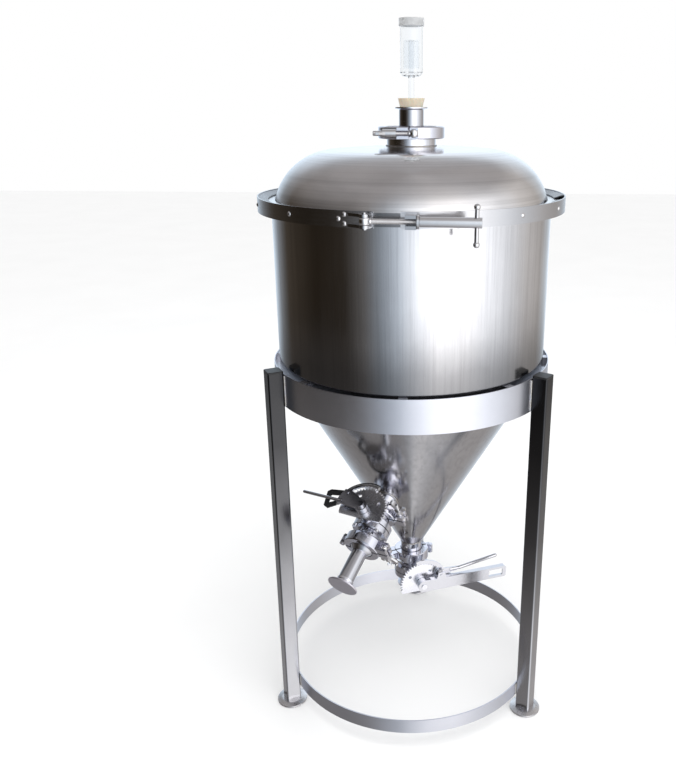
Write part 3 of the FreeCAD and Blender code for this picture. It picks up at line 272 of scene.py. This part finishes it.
STEEL = (0.60, 0.59, 0.60)
BLACK = (0.012, 0.012, 0.013)
RING_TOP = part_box("support_ring")[1][2]
FINISHES = {
    # Tank: painted dark reflection of the support ring, dimming the sheet just below and above the ring's
    # top.
    "tank_steel": sheet_steel("tank_steel", (0.62, 0.615, 0.635), 0.15, (1, 1, 0.02), streaks=True,
                              painted_dark_reflection=[(RING_TOP - 0.04, 1.0), (RING_TOP - 0.01, 0.42),
                                      (RING_TOP + 0.03, 0.55), (RING_TOP + 0.08, 0.88),
                                      (RING_TOP + 0.13, 1.0)]),
    "lid_steel": spun_steel("lid_steel", (0.66, 0.645, 0.65), 0.16),
    "polished_steel": cast_metal("polished_steel", (0.64, 0.64, 0.68), 0.10, 0.15),
    "ring_steel": sheet_steel("ring_steel", (0.68, 0.69, 0.75), 0.33, (0.05, 0.05, 1), 0.08),
    # Legs: painted dark reflection, the steel bright at the foot and near black towards the top.
    "leg_steel": sheet_steel("leg_steel", (0.60, 0.60, 0.63), 0.16, (1, 1, 0.02), 0.06,
                             painted_dark_reflection=[(0.05, 1.0), (0.16, 0.8), (0.34, 0.26), (0.50, 0.10), (0.62, 0.08)]),
    "foot_steel": cast_metal("foot_steel", STEEL, 0.28),
    "black_plastic": moulded("black_plastic", BLACK, 0.42),
    "silicone": moulded("silicone", (0.55, 0.54, 0.52), 0.45, Subsurface_Weight=0.1),
    "black_rubber": moulded("black_rubber", (0.015, 0.015, 0.015), 0.6),
    "bung_rubber": moulded("bung_rubber", (0.72, 0.64, 0.50), 0.5, Subsurface_Weight=0.15),
    "clear_plastic": clear_plastic("clear_plastic"),
    "cap_plastic": moulded("cap_plastic", (0.86, 0.87, 0.88), 0.3, 0.05, Transmission_Weight=0.6),
    "band_steel": sheet_steel("band_steel", (0.50, 0.50, 0.52), 0.22, (0.05, 0.05, 1), 0.06),
    "fastener_steel": cast_metal("fastener_steel", (0.63, 0.62, 0.63), 0.16, 0.2),
    "cast_steel": cast_metal("cast_steel", (0.54, 0.54, 0.59), 0.17),
    "handle_steel": sheet_steel("handle_steel", (0.64, 0.64, 0.68), 0.20, (0.1, 1, 1), 0.05),
    "cap_steel": cast_metal("cap_steel", (0.66, 0.63, 0.68), 0.38, 0.1),
    "clamp_steel": cast_metal("clamp_steel", (0.60, 0.60, 0.66), 0.13),
}
WELD = weld_metal("weld_metal")
OWN_FINISH = {   # nodes whose finish differs from their slot's
    "rack_trigger": dipped_trigger("dipped_trigger"),
    "bridge_tongue": sheet_steel("tongue_steel", (0.22, 0.22, 0.23), 0.28, (0.05, 0.05, 1), 0.06),
    "index_plates": cast_metal("index_steel", (0.70, 0.70, 0.74), 0.26, 0.1),
    # Retainers near black: painted shade of the band's channel round the lid's flange.
    "band_retainers": sheet_steel("retainer_steel", (0.17, 0.17, 0.18), 0.3, (0.05, 0.05, 1), 0.06),
}
SHARP = {   # nodes that keep their CAD edges
    "airlock_body", "airlock_float", "band_rivets", "valve_seats", "clamp_seals",
    "tank_shell", "lid_shell", "lid_gasket", "band_retainers", "outlet_o_ring"}
EDGE_ROUNDING = 0.35 * MM
EDGE_ANGLE = 38


def dress_nodes():
    """Gives each CAD node its finish and a slight rounding of its edges."""
    slots = {s["node"]: s["material_slot"] for s in frame["record"]["subparts"]}
    for name, obj in NODES.items():
        obj.data.materials.clear()
        obj.data.materials.append(OWN_FINISH.get(name, FINISHES[slots[name]]))
        if name in SHARP:
            continue
        bevel = obj.modifiers.new("rounding", "BEVEL")
        bevel.width = EDGE_ROUNDING
        bevel.segments = 2
        bevel.limit_method = "ANGLE"
        bevel.angle_limit = math.radians(EDGE_ANGLE)
        bevel.harden_normals = True


# ---- piece helpers --------------------------------------------------------------------
def link_object(name, data):
    obj = bpy.data.objects.new(name, data)
    bpy.context.collection.objects.link(obj)
    return obj


def add_piece(name, bm, body, material):
    """A smooth piece from the mesh and riding on a body."""
    mesh = bpy.data.meshes.new(name)
    bmesh.ops.recalc_face_normals(bm, faces=bm.faces)
    bm.to_mesh(mesh)
    bm.free()
    for face in mesh.polygons:
        face.use_smooth = True
    obj = link_object(name, mesh)
    mesh.materials.append(material)
    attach(obj, body)
    return obj


def side_of(axis):
    """A unit vector across the axis."""
    other = Vector((1, 0, 0)) if abs(axis.x) < 0.8 else Vector((0, 1, 0))
    return axis.cross(other).normalized()


def spokes(axis):
    """A function from an angle to the unit vector that stands there across the axis."""
    across = side_of(axis)
    other = axis.cross(across)
    return lambda angle: across * math.cos(angle) + other * math.sin(angle)


def angles(count):
    return [2 * math.pi * k / count for k in range(count)]


def bridge(bm, low, high):
    """Faces between two rings with the same number of points."""
    for k in range(len(low)):
        after = (k + 1) % len(low)
        bm.faces.new((low[k], low[after], high[after], high[k]))


def tube_along(bm, points, radius, closed=False, sides=10, ripple=0.0, pitch=1):
    """Round tube through the points; ripple swells it in every second pitch of rings."""
    rings = []
    count = len(points)
    normal = None
    for i, point in enumerate(points):
        ahead = points[(i + 1) % count] if closed or i < count - 1 else point
        behind = points[i - 1] if closed or i else point
        along = (ahead - behind).normalized()
        normal = side_of(along) if normal is None else (normal - along * normal.dot(along)).normalized()
        across = along.cross(normal)
        r = radius * (1 + ripple * math.sin(2 * math.pi * i / pitch))
        rings.append([bm.verts.new(point + (normal * math.cos(a) + across * math.sin(a)) * r)
                      for a in angles(sides)])
    pairs = list(zip(rings, rings[1:])) + ([(rings[-1], rings[0])] if closed else [])
    for low, high in pairs:
        bridge(bm, low, high)
    if not closed:
        bm.faces.new(rings[0])
        bm.faces.new(rings[-1])


def lathe(bm, start, axis, outline, sides=40):
    """Closed turned shape from (along, radius) points about an axis."""
    spoke = spokes(axis)
    rings = [[bm.verts.new(start + axis * along + spoke(a) * radius) for a in angles(sides)]
             for along, radius in outline]
    for low, high in zip(rings, rings[1:] + rings[:1]):
        bridge(bm, low, high)


def threaded_rod(bm, start, axis, length, crest, pitch, sides=24):
    """Rod with a real helical thread, pointed slightly at its end."""
    spoke = spokes(axis)
    depth = pitch * 0.5
    steps = 4     # rows in one pitch
    rings = []
    for row in range(int(length / pitch * steps) + 1):
        along = row * pitch / steps
        fade = min(1.0, (length - along) / (pitch * 1.5) + 0.15)
        ring = []
        for k, angle in enumerate(angles(sides)):
            phase = (row / steps + k / sides) % 1.0
            radius = (crest - depth * abs(2 * phase - 1)) * (0.8 + 0.2 * fade)
            ring.append(bm.verts.new(start + axis * along + spoke(angle) * radius))
        if rings:
            bridge(bm, rings[-1], ring)
        rings.append(ring)
    bm.faces.new(rings[0])
    bm.faces.new(rings[-1])


# ---- threaded bolts -------------------------------------------------------------------
def swing_bolt(node, hinge, nut_joint, pin_r, eye_r, eye_half, shank_r, pitch):
    """Eye bolt with a plain neck and a cut thread in place of the plain CAD rod."""
    pivot, pin = joint_frame(hinge)
    along = Vector(JOINTS[nut_joint]["axis"]).normalized()
    low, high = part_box(node)
    centre = (Vector(low) + Vector(high)) / 2
    reach = 2 * (centre - pivot).dot(along) + eye_r
    bm = bmesh.new()
    soft = 0.12 * eye_half            # rounding of the eye's rims
    lathe(bm, pivot - pin * eye_half, pin, [
        (0, pin_r), (0, eye_r - soft), (soft, eye_r), (2 * eye_half - soft, eye_r),
        (2 * eye_half, eye_r - soft), (2 * eye_half, pin_r)])
    neck = eye_r + 1.5 * MM           # where the thread starts, from the pivot
    plain = neck - pin_r
    core = 0.2 * MM                   # the turned shape stays open this far round its axis
    lathe(bm, pivot + along * (pin_r + 0.6 * MM), along, [
        (0, core), (0, shank_r), (plain, shank_r), (plain + 0.5 * MM, shank_r * 0.85),
        (plain + 0.5 * MM, core)], 28)
    threaded_rod(bm, pivot + along * neck, along, reach - neck - 0.2 * MM, shank_r, pitch)
    bolt = add_piece(node + "_threaded", bm, node, FINISHES["fastener_steel"])
    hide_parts(node)


def bolts():
    """Threaded bolts for the four clamps and for the band's latch."""
    for clamp in ("lid_clamp", "dump_clamp", "rack_inlet_clamp", "rack_outlet_clamp"):
        shank = (4.0 if clamp == "lid_clamp" else 3.0) * MM
        swing_bolt(clamp + "_bolt", clamp + "_bolt_swing", clamp + "_nut_turn", 2.06 * MM,
                   shank + 2.8 * MM, shank + 1.5 * MM, shank, 1.0 * MM)
    swing_bolt("latch_bolt", "latch_bolt_swing", "latch_nut_travel", 3.06 * MM,
               7.0 * MM, 4.8 * MM, 4.0 * MM, 1.25 * MM)


# ---- welds ----------------------------------------------------------------------------
def weld_ring(name, body, centre, axis, radius, bead):
    """Rippled bead round a tube."""
    spoke = spokes(axis)
    count = max(48, int(2 * math.pi * radius / (0.9 * MM)))
    points = [centre + spoke(angle) * radius for angle in angles(count)]
    bm = bmesh.new()
    tube_along(bm, points, bead, True, 8, 0.16, 3)
    add_piece(name, bm, body, WELD)


def weld_line(name, body, start, end, bead):
    """Rippled straight bead."""
    count = max(8, int((end - start).length / (0.8 * MM)))
    points = [start.lerp(end, k / count) for k in range(count + 1)]
    bm = bmesh.new()
    tube_along(bm, points, bead, False, 8, 0.22, 3)
    add_piece(name, bm, body, WELD)


def leg_welds():
    """Upright fillet beads where each leg meets the two rings."""
    ring_low, ring_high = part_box("support_ring")
    base_low, base_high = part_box("base_ring")
    levels = {"upper": (ring_low[2], ring_high[2]), "lower": (base_low[2], base_high[2])}
    radius = ring_high[0]
    half = (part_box("leg_rear")[1][0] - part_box("leg_rear")[0][0]) / 2
    lean = math.asin(half / radius) + 0.003      # half a leg's width round the ring, and the bead
    for leg in ("left", "right", "rear"):
        low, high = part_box("leg_" + leg)
        middle = (Vector(low) + Vector(high)) / 2
        azimuth = math.atan2(middle.y, middle.x)
        for side in (-1, 1):
            angle = azimuth + side * lean
            spot = Vector((math.cos(angle), math.sin(angle), 0)) * (radius + 0.3 * MM)
            for part, (bottom, top) in levels.items():
                name = "weld_%s_%s_%s" % (part, leg, "a" if side < 0 else "b")
                weld_line(name, "vessel", spot + UP * (bottom + 2 * MM), spot + UP * (top - 2 * MM), 1.5 * MM)


LID_PORT_R = 38.1 * MM
PORT_R = 19.05 * MM
TANK_R = 220 * MM


def port_welds():
    """Beads where the port tubes meet the lid and the cone."""
    lid_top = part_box("lid_shell")[1][2]
    weld_ring("weld_lid_port", "lid", UP * (lid_top + 0.2 * MM), UP, LID_PORT_R + 0.4 * MM, 1.2 * MM)
    cone_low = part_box("tank_shell")[0][2]
    weld_ring("weld_dump_port", "vessel", UP * (cone_low + 0.6 * MM), UP, PORT_R + 0.25 * MM, 0.9 * MM)
    pivot, axis = joint_frame("racking_arm_turn")
    foot = pivot - axis * (11.0 * MM)            # the port's foot on the cone
    weld_ring("weld_rack_port", "vessel", foot, axis, PORT_R + 0.55 * MM, 1.3 * MM)


def tank_seam():
    """The long seam at the back of the tank, rolled nearly flat."""
    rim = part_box("tank_shell")[1][2]
    spot = Vector((0.0, TANK_R + 0.05 * MM, 0))
    weld_line("weld_tank_seam", "vessel", spot + UP * (RING_TOP + 2 * MM), spot + UP * (rim - 6 * MM),
              0.55 * MM)


# ---- trigger springs ------------------------------------------------------------------
def trigger_spring(valve, body):
    """Torsion spring round a trigger's pin, outside its plate, with two short legs."""
    pin, axis = joint_frame(valve + "_trigger_squeeze")
    axis = (axis if (pin + axis).length > (pin - axis).length else -axis).normalized()
    spoke = spokes(axis)
    wire, radius, leg = 0.55 * MM, 3.7 * MM, 7 * MM
    turns, sides = 2.5, 18        # sides are points in one turn
    points = []
    for k in range(int(turns * sides) + 1):
        along = 1.9 * MM + wire * 2.1 * k / sides
        points.append(pin + axis * along + spoke(2 * math.pi * k / sides) * radius)
    lead = (points[0] - points[1]).normalized()
    tail = (points[-1] - points[-2]).normalized()
    points = [points[0] + lead * leg] + points + [points[-1] + tail * leg]
    bm = bmesh.new()
    tube_along(bm, points, wire, False, 8)
    add_piece(valve + "_trigger_spring", bm, body, FINISHES["fastener_steel"])


def trigger_springs():
    trigger_spring("dump", "dump_valve_handle")
    trigger_spring("rack", "rack_valve_lever")


# ---- studio ---------------------------------------------------------------------------
CAMERA_AZIMUTH = 3.2         # degrees to the right of the front
CAMERA_DISTANCE = 1.2804     # metres from the vessel's axis
CAMERA_HEIGHT = 1.0131       # metres above the floor
CAMERA_PITCH = 18.84         # degrees down
CAMERA_FOCAL = 1.0434        # focal length over picture height
CAMERA_SHIFT = -0.0969


def camera():
    """Seen from slightly right of the front, a little above the lid, looking down."""
    data = bpy.data.cameras.new("camera")
    cam = link_object("camera", data)
    azimuth = math.radians(CAMERA_AZIMUTH)
    cam.location = (math.sin(azimuth) * CAMERA_DISTANCE, -math.cos(azimuth) * CAMERA_DISTANCE, CAMERA_HEIGHT)
    cam.rotation_euler = (math.radians(90 - CAMERA_PITCH), 0, azimuth)
    data.sensor_fit = "VERTICAL"
    data.sensor_height = 24.0
    data.lens = CAMERA_FOCAL * data.sensor_height
    data.shift_x = CAMERA_SHIFT
    data.clip_start = 0.05
    bpy.context.scene.camera = cam


def overhead_lamp():
    """Soft lamp above and in front, seen by neither the camera nor the reflections."""
    data = bpy.data.lights.new("overhead", "AREA")
    data.shape = "RECTANGLE"
    data.size = data.size_y = 1.8
    data.energy = 26
    lamp = link_object("overhead", data)
    lamp.location = (0.5, -0.8, 2.6)
    target = Vector((0, 0, 0.3))
    lamp.rotation_euler = (target - Vector(lamp.location)).to_track_quat("-Z", "Y").to_euler()
    lamp.visible_camera = False
    lamp.visible_glossy = False


SURROUND_R = 2.9
SURROUND_BANDS = (
    # degrees round from the camera's azimuth (positive to its right), brightness, warmth
    (-180, 1.30, -0.10), (-168, 1.25, -0.14), (-150, 0.80, -0.14), (-134, 0.28, -0.05), (-118, 0.06, 0.25),
    (-80, 0.018, 0.35), (-52, 0.03, 0.25), (-36, 0.15, 0.05), (-22, 0.42, -0.12), (-9, 0.95, -0.10),
    (4, 1.75, -0.04), (20, 2.4, 0.0), (42, 2.3, 0.0), (60, 1.75, -0.02), (80, 1.15, -0.02),
    (104, 0.75, 0.04), (128, 0.52, 0.06), (146, 0.75, -0.08), (160, 1.2, -0.12), (180, 1.30, -0.10))
# From the foot of the sphere (0) to its top (1): brightness, and the share of the even tone.
SURROUND_RISE = [(0.0, 0.50), (0.22, 0.75), (0.30, 0.9), (0.345, 0.66), (0.40, 0.88), (0.45, 1.0),
                 (0.52, 0.9), (0.64, 1.0), (0.78, 1.0), (0.87, 0.62), (1.0, 0.52)]
SURROUND_EVEN = [(0.0, 0.6), (0.15, 0.35), (0.33, 0.12), (0.40, 0.0), (0.62, 0.0), (0.80, 0.3),
                 (0.92, 0.8), (1.0, 0.9)]
EVEN_TONE = (0.31, 0.30, 0.30)


def surround():
    """Studio wall and ceiling that only reflections see; the brightness goes round it in bands."""
    bm = bmesh.new()
    bmesh.ops.create_uvsphere(bm, u_segments=48, v_segments=24, radius=SURROUND_R)
    mesh = bpy.data.meshes.new("surround")
    bm.to_mesh(mesh)
    bm.free()
    wall = link_object("surround", mesh)
    wall.location = (0, 0, 0.6)
    wall.rotation_euler.z = math.radians(CAMERA_AZIMUTH)
    for kind in ("camera", "diffuse", "transmission", "volume_scatter", "shadow"):
        setattr(wall, "visible_" + kind, False)
    s = Shader("surround")
    place = s.xyz()
    turn = s.math("ARCTAN2", place["X"], s.math("MULTIPLY", place["Y"], -1.0))
    round_share = s.math("ADD", s.math("MULTIPLY", turn, 0.5 / math.pi), 0.5)
    peak = 1.2 * max(value for _, value, _ in SURROUND_BANDS)
    bands = s.ramp(round_share, [((angle + 180) / 360, tint((1 + warm, 1.0, 1 - warm), value / peak))
                                 for angle, value, warm in SURROUND_BANDS])
    rise = s.math("ADD", s.math("MULTIPLY", s.math("DIVIDE", place["Z"], SURROUND_R), 0.5), 0.5)
    tone = s.mix(s.ramp(rise, SURROUND_EVEN), bands, EVEN_TONE)
    glow = s.tree.nodes.new("ShaderNodeEmission")
    s.link(s.times(tone, s.ramp(rise, SURROUND_RISE)), glow.inputs["Color"])
    glow.inputs["Strength"].default_value = peak
    s.link(glow.outputs[0], s.tree.nodes["Material Output"].inputs["Surface"])
    mesh.materials.append(s.material)


def studio():
    """Pale floor and world, one soft lamp for contact shadows."""
    floor_mesh = bpy.data.meshes.new("floor")
    bm = bmesh.new()
    half = 9.0
    corners = ((-half, -half, 0), (half, -half, 0), (half, half, 0), (-half, half, 0))
    bm.faces.new([bm.verts.new(corner) for corner in corners])
    bm.to_mesh(floor_mesh)
    bm.free()
    floor = link_object("floor", floor_mesh)
    floor.location.z = -0.0005
    floor.visible_glossy = False
    s = Shader("floor")
    cloud = s.noise((1, 1, 1), 3.0)
    floor_mesh.materials.append(s.use(s.ramp(cloud, [(0.3, 0.93), (0.7, 0.95)]), Roughness=0.9))
    world = bpy.data.worlds.new("studio")
    bpy.context.scene.world = world
    world.use_nodes = True
    background = world.node_tree.nodes["Background"]
    background.inputs["Color"].default_value = (1, 1, 1, 1)
    background.inputs["Strength"].default_value = 1.0
    bpy.context.scene.view_settings.view_transform = "Standard"
    overhead_lamp()
    surround()


dress_nodes()
bolts()
leg_welds()
port_welds()
tank_seam()
trigger_springs()
studio()
camera()
